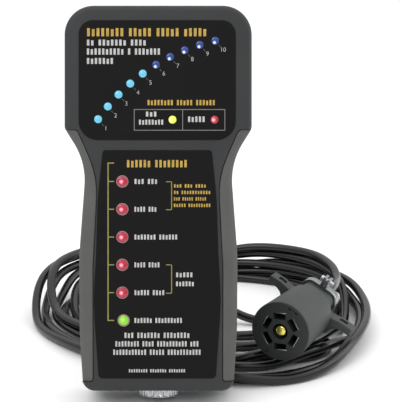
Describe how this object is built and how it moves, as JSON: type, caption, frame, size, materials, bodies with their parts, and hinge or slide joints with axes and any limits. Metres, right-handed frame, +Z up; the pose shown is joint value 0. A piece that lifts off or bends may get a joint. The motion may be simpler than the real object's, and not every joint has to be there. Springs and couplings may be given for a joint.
{
  "type": "trailer brake and circuit tester",
  "caption": "Handheld trailer brake-force and circuit tester with rows of lamps, rubber grips and a coiled detachable harness ending in a seven-way trailer plug.",
  "frame": {"origin": "on the floor, under the middle of the handset's box as it leans back on the coil", "axes": "+X to the right seen from the lit face, +Y away from the lit face towards the coil, +Z up"},
  "size_m": [0.2812, 0.3271, 0.2696],
  "materials": {
    "case_plastic": "fine textured",
    "grip_rubber": "soft matt",
    "label_film": "printed satin film",
    "seal_rubber": "matt",
    "blue_lens": "clear coloured",
    "red_lens": "clear coloured",
    "green_lens": "clear coloured",
    "yellow_lens": "clear coloured",
    "bezel_plastic": "clear rim",
    "board_laminate": "solder mask",
    "aluminium": "brushed",
    "resistor_gold": "anodised",
    "black_plastic": "moulded",
    "screw_steel": "zinc plated",
    "dark_steel": "black oxide",
    "nickel": "satin nickel",
    "gold_contact": "gold plated",
    "brass": "bright",
    "cord_jacket": "smooth satin PVC",
    "plug_nylon": "moulded satin",
    "plug_face": "moulded satin",
    "clamp_metal": "bright zinc",
    "wire_colours": "coloured PVC",
    "terminal_green": "moulded"
  },
  "bodies": {
    "harness": {"cord_coil": "cord_jacket", "near_lead": "cord_jacket", "plug_lead": "cord_jacket", "plug_housing": "plug_nylon", "plug_insert": "plug_face", "plug_blades": "clamp_metal", "plug_centre_pin": "brass", "plug_clamp_right": "clamp_metal", "plug_clamp_left": "clamp_metal", "plug_clamp_screws": "screw_steel", "plug_grommet": "seal_rubber", "insert_screw": "screw_steel", "connector_shell": "nickel", "connector_insert": "black_plastic", "connector_contacts": "gold_contact", "backshell_nut": "nickel", "connector_boot": "seal_rubber"},
    "handset": {"front_shell": "case_plastic", "rear_shell": "case_plastic", "case_seal": "seal_rubber", "grip_left": "grip_rubber", "grip_right": "grip_rubber", "upper_label": "label_film", "lower_label": "label_film", "circuit_board": "board_laminate", "brake_force_lamps": "blue_lens", "circuit_lamps": "red_lens", "ground_lamp": "green_lens", "status_lamp": "yellow_lens", "power_lamp": "red_lens", "lamp_bezels": "bezel_plastic", "heat_spreader": "aluminium", "load_resistors": "resistor_gold", "control_chip": "black_plastic", "drive_transistors": "black_plastic", "terminal_block": "terminal_green", "wire_loom": "wire_colours", "case_screws": "dark_steel", "board_screws": "screw_steel", "receptacle_shell": "nickel", "receptacle_insert": "black_plastic", "receptacle_pins": "gold_contact", "receptacle_nut": "nickel", "receptacle_seal": "seal_rubber"},
    "coupling_ring": {"coupling_ring": "nickel"}
  },
  "joints": [
    {"name": "handset_lift", "type": "slide", "parent": "harness", "child": "handset", "axis": [0, 0, 1], "range_m": [0, 0.3]},
    {"name": "coupling_ring_turn", "type": "hinge", "parent": "harness", "child": "coupling_ring", "pos_m": [-0.022, 0.196, 0.0168], "axis": [0.766, -0.6428, 0], "continuous": true}
  ]
}
